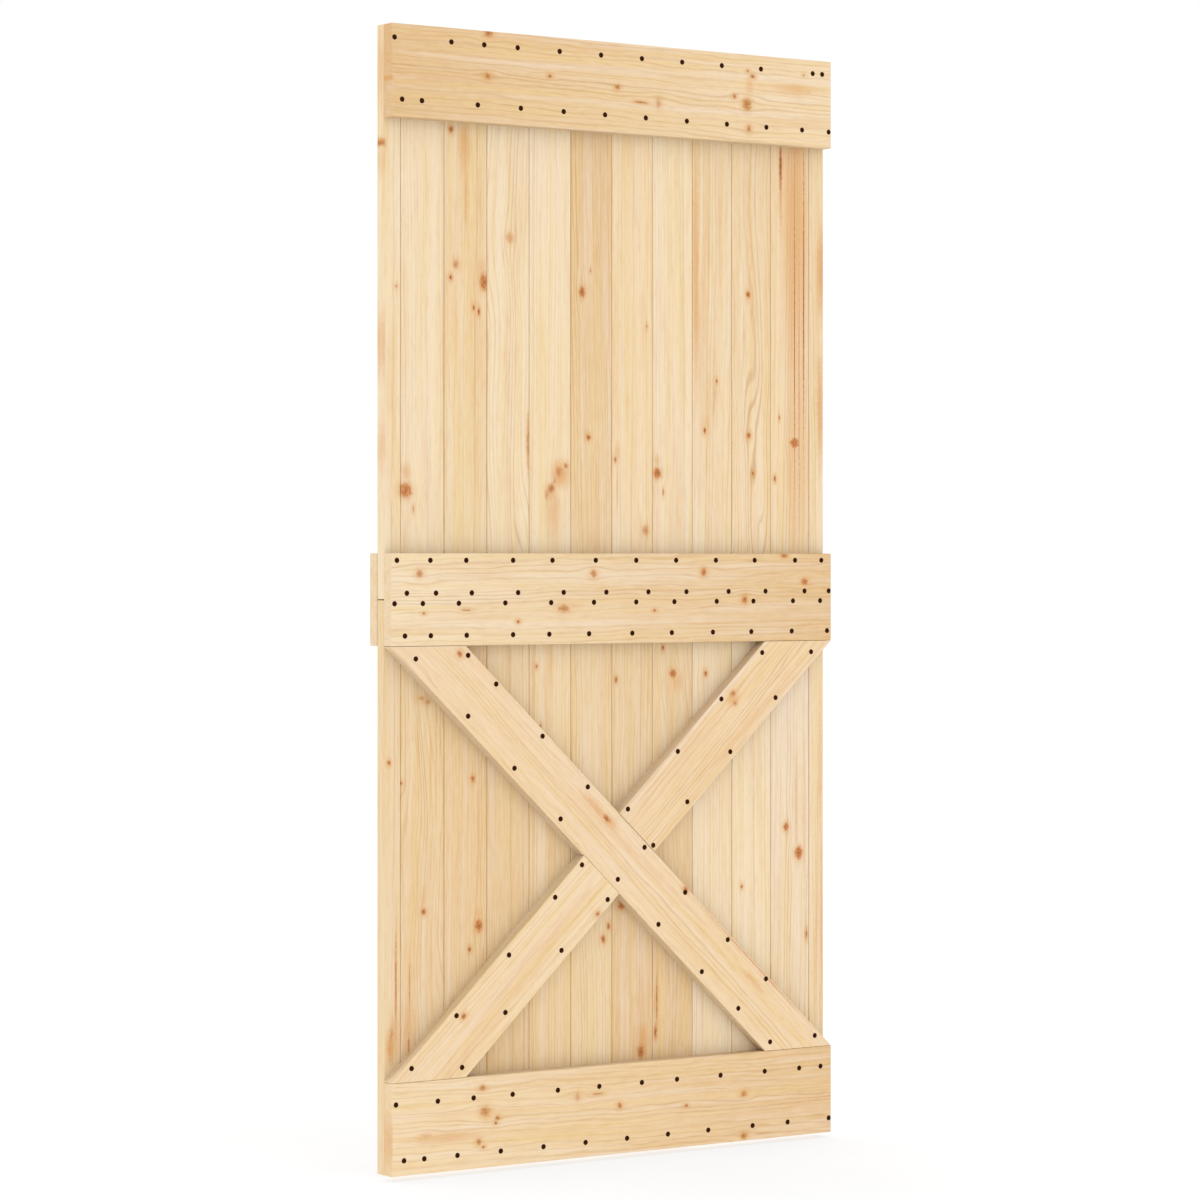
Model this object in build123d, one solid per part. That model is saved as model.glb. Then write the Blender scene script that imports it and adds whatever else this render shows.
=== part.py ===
"""Ledged and braced sliding door leaf in unfinished pine.

Two half panels of tongue-and-groove boards stand one above the other. Three rails cross
the front, a fourth stands behind the middle one, and an X of braces fills the lower half.
The frame's origin is the centre of the top rail's front face, where the roller hangers bolt
on. X runs to the right along the door, Y runs from the front to the back, Z runs up.
"""
import math
import os

from build123d import *

# Leaf
DOOR_WIDTH = 1000.0
DOOR_HEIGHT = 2100.0
HALF_PANEL_GAP = 2.0
LEAF_ARRIS_RADIUS = 3.0

# Boards
BOARD_THICKNESS = 26.0
BOARD_COVER = 93.0
NARROWEST_RIP = 25.0
BOARD_FACE_GAP = 0.8
BOARD_ARRIS = 1.0

# Tongue and groove
TONGUE_LENGTH = 8.0
TONGUE_THICKNESS = 8.0
TONGUE_NOSE_RADIUS = 1.5
TONGUE_SIDE_CLEARANCE = 0.2
TONGUE_END_CLEARANCE = 0.6

# Rails
RAIL_HEIGHT = 170.0
RAIL_THICKNESS = 26.0
RAIL_ARRIS_RADIUS = 2.0

# Braces
BRACE_WIDTH = 110.0
BRACE_ARRIS_RADIUS = 2.0
BRACE_BUTT_CLEARANCE = 0.4

# Planes of the leaf, from the front to the back
FRONT = 0.0
PANEL_FRONT = FRONT + RAIL_THICKNESS
PANEL_MIDDLE = PANEL_FRONT + BOARD_THICKNESS / 2
PANEL_BACK = PANEL_FRONT + BOARD_THICKNESS

# Heights of the leaf, from the top to the bottom
TOP = RAIL_HEIGHT / 2
BOTTOM = TOP - DOOR_HEIGHT
MID_HEIGHT = (TOP + BOTTOM) / 2
BOTTOM_RAIL_MIDDLE = BOTTOM + RAIL_HEIGHT / 2


def board_layout():
    """Left edge and cover of every board: full boards, with two equal ripped ones outside."""
    full_count = int((DOOR_WIDTH - 2 * NARROWEST_RIP) // BOARD_COVER)
    rip = (DOOR_WIDTH - full_count * BOARD_COVER) / 2
    covers = [rip] + [BOARD_COVER] * full_count + [rip]
    lefts = [-DOOR_WIDTH / 2 + sum(covers[:index]) for index in range(len(covers))]
    return list(zip(lefts, covers))


def board_section(face_width, has_groove, has_tongue):
    """Section of one board, its left face edge on the Y axis and its middle on the X axis."""
    section = Pos(face_width / 2, 0) * Rectangle(face_width, BOARD_THICKNESS)
    section = chamfer(section.vertices(), BOARD_ARRIS)
    if has_tongue:
        blank = TONGUE_LENGTH + 2 * TONGUE_NOSE_RADIUS
        tongue = RectangleRounded(blank, TONGUE_THICKNESS, TONGUE_NOSE_RADIUS)
        section += Pos(face_width + TONGUE_LENGTH - blank / 2, 0) * tongue
    if has_groove:
        depth = TONGUE_LENGTH + TONGUE_END_CLEARANCE
        groove = Rectangle(depth, TONGUE_THICKNESS + 2 * TONGUE_SIDE_CLEARANCE)
        section -= Pos(depth / 2, 0) * groove
    return section


def leaf_outline():
    """Block that both half panels are trimmed to, with the outer edges of its back rounded."""
    below_top = (Align.CENTER, Align.CENTER, Align.MAX)
    block = Box(DOOR_WIDTH, BOARD_THICKNESS, DOOR_HEIGHT, align=below_top)
    back_edges = block.faces().sort_by(Axis.Y)[-1].edges()
    return Pos(0, PANEL_MIDDLE, TOP) * fillet(back_edges, LEAF_ARRIS_RADIUS)


def half_panel(name, foot, height):
    """Boards of one half panel, standing on the height foot."""
    boards = {}
    outline = leaf_outline()
    layout = board_layout()
    for index, (left, cover) in enumerate(layout):
        is_first = index == 0
        is_last = index == len(layout) - 1
        gap_left = 0.0 if is_first else BOARD_FACE_GAP / 2
        gap_right = 0.0 if is_last else BOARD_FACE_GAP / 2
        section = board_section(cover - gap_left - gap_right, not is_first, not is_last)
        board = Pos(left + gap_left, PANEL_MIDDLE, foot) * extrude(section, amount=height)
        boards[f"{name}_board_{index + 1:02d}"] = board & outline
    return boards


def brace_blank(length):
    """Bar along X behind the front plane, with its two long front edges rounded."""
    section = Pos(RAIL_THICKNESS / 2, 0) * Rectangle(RAIL_THICKNESS, BRACE_WIDTH)
    front_corners = section.vertices().group_by(Axis.X)[0]
    section = fillet(front_corners, BRACE_ARRIS_RADIUS)
    along_x = Plane(origin=(-length / 2, FRONT, 0), x_dir=(0, 1, 0), z_dir=(1, 0, 0))
    return extrude(along_x * section, amount=length)


def rail():
    """Rail centred on the origin's height, every edge rounded but those against the boards."""
    at_front = (Align.CENTER, Align.MIN, Align.CENTER)
    bar = Box(DOOR_WIDTH, RAIL_THICKNESS, RAIL_HEIGHT, align=at_front)
    against_boards = bar.faces().sort_by(Axis.Y)[-1].edges()
    eased = [edge for edge in bar.edges() if edge not in against_boards]
    return fillet(eased, RAIL_ARRIS_RADIUS)


def braces():
    """Brace running through from corner to corner, and the two halves butted against it."""
    field_top = MID_HEIGHT - RAIL_HEIGHT / 2 - BRACE_BUTT_CLEARANCE
    field_bottom = BOTTOM + RAIL_HEIGHT + BRACE_BUTT_CLEARANCE
    field_height = field_top - field_bottom
    diagonal = math.hypot(DOOR_WIDTH, field_height)
    slope = math.atan2(field_height, DOOR_WIDTH) + math.asin(BRACE_WIDTH / diagonal)

    centre = Pos(0, FRONT, (field_top + field_bottom) / 2)
    fall = centre * Rot(0, math.degrees(slope), 0)
    rise = centre * Rot(0, -math.degrees(slope), 0)
    length = 2 * diagonal
    through = 4 * RAIL_THICKNESS
    blank = brace_blank(length)
    field = centre * Box(length, through, field_height)
    housing = fall * Box(length, through, BRACE_WIDTH + 2 * BRACE_BUTT_CLEARANCE)

    lower, upper = ((rise * blank & field) - housing).solids().sort_by(Axis.Z)
    return {
        "brace_full": fall * blank & field,
        "brace_upper_half": upper,
        "brace_lower_half": lower,
    }


def door():
    """Every piece of the leaf by its name."""
    board_height = (DOOR_HEIGHT - HALF_PANEL_GAP) / 2
    pieces = {}
    pieces.update(half_panel("upper", MID_HEIGHT + HALF_PANEL_GAP / 2, board_height))
    pieces.update(half_panel("lower", BOTTOM, board_height))
    pieces["top_rail"] = rail()
    pieces["middle_rail_front"] = Pos(0, FRONT, MID_HEIGHT) * rail()
    turned_rail = Rot(0, 0, 180) * rail()
    pieces["middle_rail_back"] = Pos(0, PANEL_BACK + RAIL_THICKNESS, MID_HEIGHT) * turned_rail
    pieces["bottom_rail"] = Pos(0, FRONT, BOTTOM_RAIL_MIDDLE) * rail()
    pieces.update(braces())
    return pieces


os.makedirs("parts", exist_ok=True)
for node, solid in door().items():
    export_step(solid, f"parts/{node}.step")
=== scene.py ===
"""Looks of a ledged and braced sliding door leaf in unfinished pine."""
import math
from collections import namedtuple

import bmesh
import bpy
from mathutils import Matrix, Vector


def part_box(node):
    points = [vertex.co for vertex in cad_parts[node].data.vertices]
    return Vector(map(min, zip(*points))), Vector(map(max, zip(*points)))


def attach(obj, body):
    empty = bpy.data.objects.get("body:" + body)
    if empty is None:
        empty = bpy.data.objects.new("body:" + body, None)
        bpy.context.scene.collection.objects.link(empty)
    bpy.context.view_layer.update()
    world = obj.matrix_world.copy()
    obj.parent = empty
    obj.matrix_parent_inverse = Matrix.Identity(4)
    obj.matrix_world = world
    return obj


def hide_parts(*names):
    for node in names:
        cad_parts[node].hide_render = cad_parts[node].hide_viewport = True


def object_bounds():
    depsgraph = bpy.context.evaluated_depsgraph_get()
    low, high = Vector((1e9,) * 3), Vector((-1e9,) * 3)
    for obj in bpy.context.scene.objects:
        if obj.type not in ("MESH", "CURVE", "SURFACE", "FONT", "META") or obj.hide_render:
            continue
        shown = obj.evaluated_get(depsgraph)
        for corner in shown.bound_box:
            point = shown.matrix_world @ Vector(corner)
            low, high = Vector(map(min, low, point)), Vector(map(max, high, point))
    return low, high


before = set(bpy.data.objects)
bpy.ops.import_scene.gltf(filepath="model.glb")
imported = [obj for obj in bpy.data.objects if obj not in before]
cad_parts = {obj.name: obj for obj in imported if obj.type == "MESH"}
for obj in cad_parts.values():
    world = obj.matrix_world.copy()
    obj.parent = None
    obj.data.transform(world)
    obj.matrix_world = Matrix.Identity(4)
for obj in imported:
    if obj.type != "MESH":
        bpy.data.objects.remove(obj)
CAD_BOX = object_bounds()

bl_info = {
    "name": "Pine Barn Door Looks",
    "version": (1, 0, 0),
    "blender": (4, 5, 0),
    "location": "View3D > Sidebar > Barn Door",
    "description": "Pine, countersunk screws and a studio for a ledged and braced sliding door leaf",
    "category": "Object",
}

MM = 0.001
LEFT, FRONT, BOTTOM = CAD_BOX[0]
RIGHT, BACK = CAD_BOX[1][:2]


def linear(code):
    """Linear colour of an sRGB hex value such as F3DAB6."""
    parts = [int(code[i:i + 2], 16) / 255 for i in (0, 2, 4)]
    return tuple(c / 12.92 if c <= 0.04045 else ((c + 0.055) / 1.055) ** 2.4 for c in parts)


def opaque(colour):
    """The same colour with full alpha, as a node's colour socket takes it."""
    return (*colour, 1.0)


# Timber of each piece: tone at the foot and at the head of the grain, how the log was sawn, ring width in
# millimetres and how strongly the rings show, then knots and streaks. A knot or streak is placed in
# millimetres from the door's left edge and above its bottom. Half its width across the grain, half its
# length along it and its strength follow. The last word is the tone of the knots.
Timber = namedtuple("Timber", "foot head cut ring contrast knots streaks body", defaults=((), (), "knot"))

# Pith of the log from the middle of the piece, across and in depth in millimetres, how far it wanders in
# both for each millimetre of length, how far the rings swing from side to side, in millimetres, and how
# much small unevenness the swing has.
Cut = namedtuple("Cut", "across depth lean_across lean_depth swing uneven")
CUTS = {
    "quarter": Cut(170, 60, 0.004, 0.010, 10, 3.0),
    "rift": Cut(96, 55, 0.008, 0.014, 14, 3.0),
    "slash": Cut(140, 52, 0.010, 0.012, 30, 3.0),
    "curly": Cut(120, 48, 0.010, 0.014, 64, 0.5),
}

BOARDS = {
    "upper_board_01": Timber("pale", "pale", "quarter", 5.0, 0.35, (
        (26, 1623, 4, 4, 0.45), (45, 1250, 13, 14, 0.8), (0, 1884, 3, 7, 0.5)), (
        (0, 1886, 3, 12, 0.9), (0, 1852, 3, 34, 0.3), (0, 1520, 3, 70, 0.45), (0, 1330, 3, 50, 0.3),
        (0, 2020, 3, 90, 0.35))),
    "upper_board_02": Timber("pale", "pale", "quarter", 6.0, 0.30, (
        (45, 1250, 13, 14, 0.8), (62, 1216, 3, 10, 0.45)), (
        (46, 1284, 13, 20, 0.5),)),
    "upper_board_03": Timber("straw", "straw", "quarter", 4.5, 0.42, (
        (143, 1917, 5, 6, 0.8), (153, 1668, 7, 9, 0.5), (142, 1644, 4, 5, 0.8), (214, 1638, 9, 17, 0.75),
        (192, 1590, 2.5, 5, 0.9), (203, 1583, 3, 7, 0.85)), (
        (172, 1890, 15, 60, 0.6), (176, 1810, 6, 90, 0.35), (210, 1650, 14, 40, 0.4),
        (196, 1590, 12, 20, 0.3))),
    "upper_board_04": Timber("pale", "pale", "curly", 8.0, 0.46, (
        (311, 1345, 2.5, 60, 0.45), (271, 1722, 10, 10, 0.3)), (
        (311, 1345, 5, 70, 0.6), (271, 1723, 13, 14, 0.5), (257, 1690, 3, 26, 0.3))),
    "upper_board_05": Timber("pale", "pale", "quarter", 6.0, 0.26, (
        (396, 1299, 5, 6, 0.7), (380, 1288, 8, 11, 0.45), (370, 1270, 5, 10, 0.4), (363, 1257, 8, 9, 0.6),
        (353, 1246, 5, 12, 0.4)), (
        (384, 1284, 24, 32, 0.75), (362, 1248, 14, 26, 0.6), (366, 1215, 22, 50, 0.4))),
    "upper_board_06": Timber("wheat", "umber", "rift", 5.0, 0.50, (
        (432, 1628, 7, 11, 0.75), (446, 1354, 5, 6, 0.8), (451, 1669, 2, 3.5, 0.6))),
    "upper_board_07": Timber("cream", "cream", "quarter", 5.0, 0.36, (
        (508, 1313, 4, 6, 0.6), (580, 1568, 2.5, 3.5, 0.5), (577, 1179, 8, 10, 0.5)), (
        (512, 1325, 9, 26, 0.45), (512, 1262, 3, 50, 0.5))),
    "upper_board_08": Timber("pale", "pale", "quarter", 5.5, 0.32, (
        (604, 1288, 9, 10, 0.85), (618, 1253, 2.5, 10, 0.5)), (
        (604, 1312, 9, 16, 0.5),)),
    "upper_board_09": Timber("pale", "wheat", "rift", 7.0, 0.34, (
        (743, 1468, 2.5, 4, 0.75), (715, 1372, 3.5, 7, 0.75)), (
        (716, 1380, 14, 26, 0.35), (694, 1680, 10, 260, 0.6), (738, 1440, 5, 50, 0.4))),
    "upper_board_10": Timber("cream", "wheat", "curly", 8.0, 0.60, (
        (818, 1638, 5, 6, 0.85), (819, 1364, 5, 6, 0.75), (829, 1291, 3, 4, 0.95)), (
        (818, 1638, 12, 22, 0.3),)),
    "upper_board_11": Timber("cream", "cream", "rift", 7.0, 0.45, (
        (930, 1352, 10, 9, 1.0), (893, 1400, 2, 6, 0.6), (882, 1281, 3, 6, 0.9), (896, 1893, 3.5, 50, 0.9),
        (952, 1640, 1.6, 330, 0.75), (930, 1560, 1.4, 380, 0.65), (941, 1450, 1.2, 330, 0.5)), (
        (932, 1800, 38, 420, 0.62), (937, 1350, 36, 260, 0.38), (896, 1830, 5, 90, 0.7))),
    "upper_board_12": Timber("pale", "wheat", "rift", 6.0, 0.40, (), (
        (994, 1690, 12, 110, 0.75), (992, 1420, 10, 130, 0.7))),
    "lower_board_01": Timber("wheat", "wheat", "quarter", 5.0, 0.35, (
        (10, 752, 4, 5, 0.7), (25, 350, 1.6, 110, 0.6), (16, 258, 4, 14, 0.4)), (
        (13, 232, 10, 40, 0.9), (22, 250, 14, 60, 0.5))),
    "lower_board_02": Timber("tan", "wheat", "curly", 7.0, 0.58, (
        (84, 477, 5, 6, 0.7), (35, 714, 5, 4, 0.6), (52, 236, 2, 22, 0.5), (54, 340, 1.5, 60, 0.45),
        (79, 869, 7, 4, 0.45), (93, 862, 6, 5, 0.45)), (
        (86, 866, 14, 12, 0.45), (84, 500, 8, 30, 0.3), (50, 260, 18, 70, 0.4), (120, 800, 2.5, 90, 0.5),
        (111, 770, 2.5, 120, 0.45), (99, 745, 2.5, 90, 0.4), (72, 780, 3, 60, 0.3))),
    "lower_board_03": Timber("tan", "tan", "rift", 5.5, 0.45, (
        (190, 718, 4.5, 6, 0.75), (203, 445, 8, 12, 0.85), (183, 402, 3.5, 5, 0.8), (148, 306, 4, 5, 0.6)), (
        (203, 462, 10, 26, 0.45), (203, 640, 5, 180, 0.3))),
    "lower_board_04": Timber("umber", "wheat", "quarter", 5.0, 0.40),
    "lower_board_05": Timber("tan", "cream", "quarter", 6.0, 0.40, (
        (330, 923, 4, 5, 0.55), (339, 812, 2.5, 4, 0.6))),
    "lower_board_06": Timber("wheat", "wheat", "rift", 5.5, 0.40, (
        (492, 429, 4, 8, 0.7), (480, 405, 6, 8, 0.7))),
    "lower_board_07": Timber("umber", "wheat", "rift", 6.0, 0.45, (
        (509, 895, 4, 7, 0.7), (522, 467, 9, 9, 0.7), (566, 186, 9, 14, 0.7)), (
        (569, 210, 14, 40, 0.7), (566, 290, 12, 80, 0.3))),
    "lower_board_08": Timber("umber", "wheat", "curly", 7.0, 0.46, (
        (617, 955, 3, 5, 0.8), (641, 905, 8, 9, 0.7), (600, 220, 3.5, 14, 0.8), (603, 280, 1.8, 60, 0.6)), (
        (600, 270, 7, 70, 0.5), (650, 890, 20, 26, 0.4))),
    "lower_board_09": Timber("pale", "cream", "quarter", 7.0, 0.34, (
        (717, 904, 4, 6, 0.7),)),
    "lower_board_10": Timber("pale", "pale", "quarter", 5.0, 0.32, (
        (803, 489, 3, 4, 0.7),)),
    "lower_board_11": Timber("straw", "sap", "rift", 7.0, 0.45, (
        (909, 601, 6, 7, 0.85), (940, 549, 9, 12, 0.95), (959, 389, 3, 14, 0.6)), (
        (940, 546, 14, 26, 0.5), (934, 640, 5, 150, 0.45), (955, 600, 4, 220, 0.35))),
    "lower_board_12": Timber("straw", "cream", "quarter", 6.0, 0.38, (), (
        (992, 700, 6, 160, 0.4), (983, 380, 3, 190, 0.45), (995, 420, 4, 220, 0.5))),
}

RAILS = {
    "top_rail": Timber("umber", "cream", "slash", 8.5, 0.48, (
        (208, 2096, 7, 10, 0.7), (206, 2016, 6, 7, 0.65), (343, 2026, 3.5, 4.5, 0.8), (495, 2016, 5, 6, 0.7),
        (548, 1991, 3, 18, 0.55), (589, 1992, 9, 7, 0.45), (796, 2003, 11, 10, 0.75), (810, 2058, 4, 6, 0.8),
        (798, 2068, 3, 4, 0.6), (767, 2017, 4, 4, 0.85), (801, 1957, 7, 6, 0.6), (933, 2069, 3, 3, 0.45)), (
        (916, 2040, 15, 56, 0.42), (944, 2038, 9, 12, 0.45), (803, 2040, 22, 12, 0.4),
        (798, 2004, 24, 18, 0.5), (801, 1955, 16, 14, 0.4), (0, 2068, 64, 4, 0.2), (0, 2001, 6, 4, 0.85)),
        "olive_knot"),
    "middle_rail_front": Timber("pale", "umber", "slash", 8.5, 0.48, (
        (60, 1098, 8, 8, 0.55), (441, 1097, 8, 7, 0.6), (161, 1030, 3, 14, 0.45), (374, 1032, 8, 14, 0.55),
        (273, 1008, 3.5, 3.5, 0.85), (69, 1025, 3, 4, 0.6), (694, 1100, 8, 6, 0.75), (885, 1131, 5, 9, 0.6),
        (935, 1080, 7, 8, 0.7), (791, 1046, 9, 7, 0.65), (580, 1027, 3, 4, 0.7)), (
        (385, 1036, 10, 40, 0.3),)),
    "bottom_rail": Timber("cream", "umber", "slash", 8.5, 0.48, (
        (195, 148, 6, 8, 0.6), (200, 104, 10, 11, 0.6), (228, 90, 4, 5, 0.8), (224, 81, 3, 4, 0.7),
        (187, 49, 7, 6, 0.6), (197, 39, 3, 4, 0.7), (75, 70, 5, 12, 0.2), (405, 115, 9, 6, 0.4),
        (450, 117, 3, 18, 0.5), (500, 91, 6, 5, 0.7), (654, 79, 3, 4, 0.75), (789, 91, 6, 7, 0.65),
        (789, 10, 7, 8, 0.7)), (
        (72, 66, 14, 26, 0.4), (118, 63, 13, 80, 0.4), (0, 62, 54, 4, 0.45), (205, 102, 22, 18, 0.5)),
        "olive_knot"),
    "middle_rail_back": Timber("pale", "cream", "slash", 8.5, 0.48, (
        (140, 1085, 7, 8, 0.7), (410, 1010, 8, 9, 0.6), (640, 1092, 4, 5, 0.8), (870, 1035, 9, 9, 0.7)),
        (), "olive_knot"),
}

BRACES = {
    "brace_full": Timber("rose", "rose", "slash", 8.5, 0.36, (
        (146, 950, 6, 7, 0.65), (652, 492, 5, 6, 0.85), (471, 635, 6, 11, 0.7),
        (808, 346, 1.5, 190, 0.35)), (
        (450, 654, 10, 55, 0.6), (474, 632, 12, 32, 0.6), (808, 346, 4, 200, 0.35),
        (811, 308, 9, 40, 0.45))),
    "brace_upper_half": Timber("rose", "rose", "slash", 8.0, 0.46, (
        (763, 865, 6, 7, 0.6), (768, 846, 5, 6, 0.5)), (
        (764, 856, 16, 20, 0.6),)),
    "brace_lower_half": Timber("rose", "cream", "rift", 7.0, 0.34, (
        (154, 283, 5, 6, 0.8), (450, 456, 5, 6, 0.6))),
}

# Screws of the rails: each row's height above the door's bottom, and its screws' distances from the door's
# left edge, in millimetres
RAIL_SCREWS = {
    "top_rail": {
        2074: (7, 128, 199, 272, 365, 458, 551, 644, 737, 830, 955, 978),
        1962: (23, 65, 185, 279, 374, 467, 560, 655, 749, 843, 929, 994),
    },
    "middle_rail_front": {
        1122: (12, 83, 160, 262, 349, 446, 538, 630, 723, 815, 912, 976),
        1062: (33, 95, 172, 273, 374, 470, 566, 654, 753, 841, 935, 994),
        1043: (7, 67, 144, 245, 346, 442, 538, 626, 725, 812, 907, 973),
        984: (29, 84, 161, 262, 342, 431, 529, 620, 716, 807, 904, 990),
    },
    "bottom_rail": {
        131: (10, 99, 176, 261, 361, 454, 551, 632, 734, 839, 922, 974),
        28: (27, 70, 141, 235, 329, 423, 517, 611, 705, 810, 894, 994),
    },
}

# Screws of the braces: distance from the door's left edge and height above its bottom, in millimetres
BRACE_SCREWS = {
    "brace_full": (
        (164, 947), (225, 893), (327, 794), (428, 696), (557, 577), (651, 487), (751, 391), (842, 310),
        (960, 192), (52, 942), (164, 835), (265, 736), (367, 638), (496, 519), (589, 429), (690, 333),
        (776, 257), (852, 187)),
    "brace_upper_half": (
        (833, 943), (736, 855), (634, 757), (519, 651), (951, 943), (865, 855), (757, 753), (656, 660),
        (577, 580)),
    "brace_lower_half": (
        (415, 550), (355, 492), (253, 390), (139, 285), (43, 195), (473, 482), (369, 392), (245, 284),
        (151, 189)),
}


class PineProperties(bpy.types.PropertyGroup):
    """Colours and grain of the planed pine."""

    pale: bpy.props.FloatVectorProperty(
        name="Pale", description="Sapwood of the lightest boards", subtype="COLOR", default=linear("F8E1BB"))
    cream: bpy.props.FloatVectorProperty(
        name="Cream", description="Sapwood of most boards", subtype="COLOR", default=linear("F7DCB2"))
    straw: bpy.props.FloatVectorProperty(
        name="Straw", description="Sapwood of the yellower boards", subtype="COLOR", default=linear("F4D8A8"))
    wheat: bpy.props.FloatVectorProperty(
        name="Wheat", description="Sapwood of the duller boards", subtype="COLOR", default=linear("F1D4A7"))
    tan: bpy.props.FloatVectorProperty(
        name="Tan", description="Wood near the heart of the log", subtype="COLOR", default=linear("EECC9C"))
    rose: bpy.props.FloatVectorProperty(
        name="Rose", description="Pinkish wood of the braces", subtype="COLOR", default=linear("F5D7AE"))
    umber: bpy.props.FloatVectorProperty(
        name="Umber", description="Heartwood of the deepest boards", subtype="COLOR",
        default=linear("E7C18F"))
    sap: bpy.props.FloatVectorProperty(
        name="Sap", description="Palest bands in the sapwood", subtype="COLOR", default=linear("F7E5CE"))
    lemon: bpy.props.FloatVectorProperty(
        name="Lemon", description="Yellow bands in the sapwood", subtype="COLOR", default=linear("F1CF8C"))
    late_wood: bpy.props.FloatVectorProperty(
        name="Late Wood", description="Dark summer half of each ring", subtype="COLOR",
        default=linear("BC8748"))
    amber: bpy.props.FloatVectorProperty(
        name="Amber", description="Resin streaks and the wood around a knot", subtype="COLOR",
        default=linear("DFA05C"))
    knot: bpy.props.FloatVectorProperty(
        name="Knot", description="Body of a live knot", subtype="COLOR", default=linear("C57531"))
    olive_knot: bpy.props.FloatVectorProperty(
        name="Olive Knot", description="Body of a duller knot in the rails", subtype="COLOR",
        default=linear("C2813D"))
    knot_heart: bpy.props.FloatVectorProperty(
        name="Knot Heart", description="Core and rim of a knot", subtype="COLOR", default=linear("93440F"))
    # Share of the tone kept for bounced light: below one it deepens the shade beside the ledges, which is
    # painted shade
    bounce: bpy.props.FloatProperty(
        name="Bounce", description="Share of the colours that lights the pieces beside the wood",
        subtype="FACTOR", default=0.42, min=0.0, max=1.0)
    band_mm: bpy.props.FloatProperty(
        name="Band Width", description="Width of the tone bands, in millimetres", default=16.0, min=1.0)
    fibre_mm: bpy.props.FloatProperty(
        name="Fibre Width", description="Width of the fibre lines, in millimetres", default=3.2, min=0.1)


class ScrewProperties(bpy.types.PropertyGroup):
    """Sizes and finish of the countersunk screws."""

    head_diameter: bpy.props.FloatProperty(
        name="Head Diameter", description="Diameter of the raised head", default=10.0 * MM, unit="LENGTH")
    head_depth: bpy.props.FloatProperty(
        name="Head Depth", description="Height of the head's cone", default=2.6 * MM, unit="LENGTH")
    shank_diameter: bpy.props.FloatProperty(
        name="Shank Diameter", description="Diameter under the head", default=3.4 * MM, unit="LENGTH")
    crown: bpy.props.FloatProperty(
        name="Crown", description="Height of the head's raised middle over its rim", default=0.9 * MM,
        unit="LENGTH")
    sink: bpy.props.FloatProperty(
        name="Sink", description="How far the head's rim lies below the wood", default=0.2 * MM,
        unit="LENGTH")
    clearance: bpy.props.FloatProperty(
        name="Clearance", description="Crushed wood around the head", default=0.15 * MM, unit="LENGTH")
    drive_diameter: bpy.props.FloatProperty(
        name="Drive Diameter", description="Width over the lobes of the drive", default=4.0 * MM,
        unit="LENGTH")
    drive_depth: bpy.props.FloatProperty(
        name="Drive Depth", description="Depth of the drive", default=1.4 * MM, unit="LENGTH")
    colour: bpy.props.FloatVectorProperty(
        name="Colour", description="Dark oiled phosphate", subtype="COLOR", default=linear("381A09"))
    worn_colour: bpy.props.FloatVectorProperty(
        name="Worn Colour", description="Phosphate rubbed thin", subtype="COLOR", default=linear("4E2C12"))


class StageProperties(bpy.types.PropertyGroup):
    """Floor, light and camera."""

    floor_drop: bpy.props.FloatProperty(
        name="Floor Gap", description="Height that the door hangs above the floor", default=10 * MM,
        unit="LENGTH")
    ambient: bpy.props.FloatProperty(
        name="Ambient", description="Strength of the even light from all sides", default=1.0, min=0.0)
    camera_place: bpy.props.FloatVectorProperty(
        name="Camera Place", description="Camera in the door's frame", subtype="XYZ", unit="LENGTH",
        default=(-4.018, -5.985, -0.8905))
    camera_turn: bpy.props.FloatProperty(
        name="Camera Turn", description="Turn of the view to the right of the door's back", subtype="ANGLE",
        default=math.radians(33.58))
    lens: bpy.props.FloatProperty(
        name="Lens", description="Focal length on a 36 mm sensor", default=114.4, unit="CAMERA")
    drop: bpy.props.FloatProperty(
        name="Lens Shift", description="Upright shift of the lens, as a share of the picture",
        default=-0.0342)


def place(x_mm, z_mm):
    """Point on the front plane from millimetres right of the door's left edge and above its bottom."""
    return Vector((LEFT + x_mm * MM, FRONT, BOTTOM + z_mm * MM))


def add(tree, kind, inputs=None, out=0, **settings):
    """Add a node with its settings, set or link its inputs, and return one of its outputs."""
    node = tree.nodes.new("ShaderNode" + kind)
    for key, value in settings.items():
        setattr(node, key, value)
    for key, value in (inputs or {}).items():
        if isinstance(value, bpy.types.NodeSocket):
            tree.links.new(value, node.inputs[key])
        else:
            node.inputs[key].default_value = value
    return node.outputs[out]


def new_material(name):
    """Material and its node tree."""
    material = bpy.data.materials.new(name)
    material.use_nodes = True
    return material, material.node_tree


# Sockets of the Mix node when it mixes colours
MIX_A, MIX_B, MIX_OUT = 6, 7, 2

WHITE = (1.0, 1.0, 1.0, 1.0)

# How the grain of one piece lies: its middle, its rise from level, its length and its seed, and whether
# its sides stand in joints
Grain = namedtuple("Grain", "middle rise length seed jointed")


def to_grain(grain):
    """Matrix from metres in the door's frame to millimetres across, into and along the grain."""
    turn = Matrix.Rotation(grain.rise - math.pi / 2, 4, "Y")
    return turn @ Matrix.Scale(1 / MM, 4) @ Matrix.Translation(-grain.middle)


def grain_point(tree, grain):
    """Millimetres across, into and along the grain, from the middle of the piece."""
    where, turn, size = to_grain(grain).decompose()
    return add(tree, "Mapping", {
        "Vector": add(tree, "TexCoord", out="Object"), "Location": where, "Rotation": turn.to_euler(),
        "Scale": size})


def way_from(tree, point, spot):
    """Way from a spot on the face to a point."""
    return add(tree, "VectorMath", {0: point, 1: (spot.x, 0, spot.z)}, operation="SUBTRACT")


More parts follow.
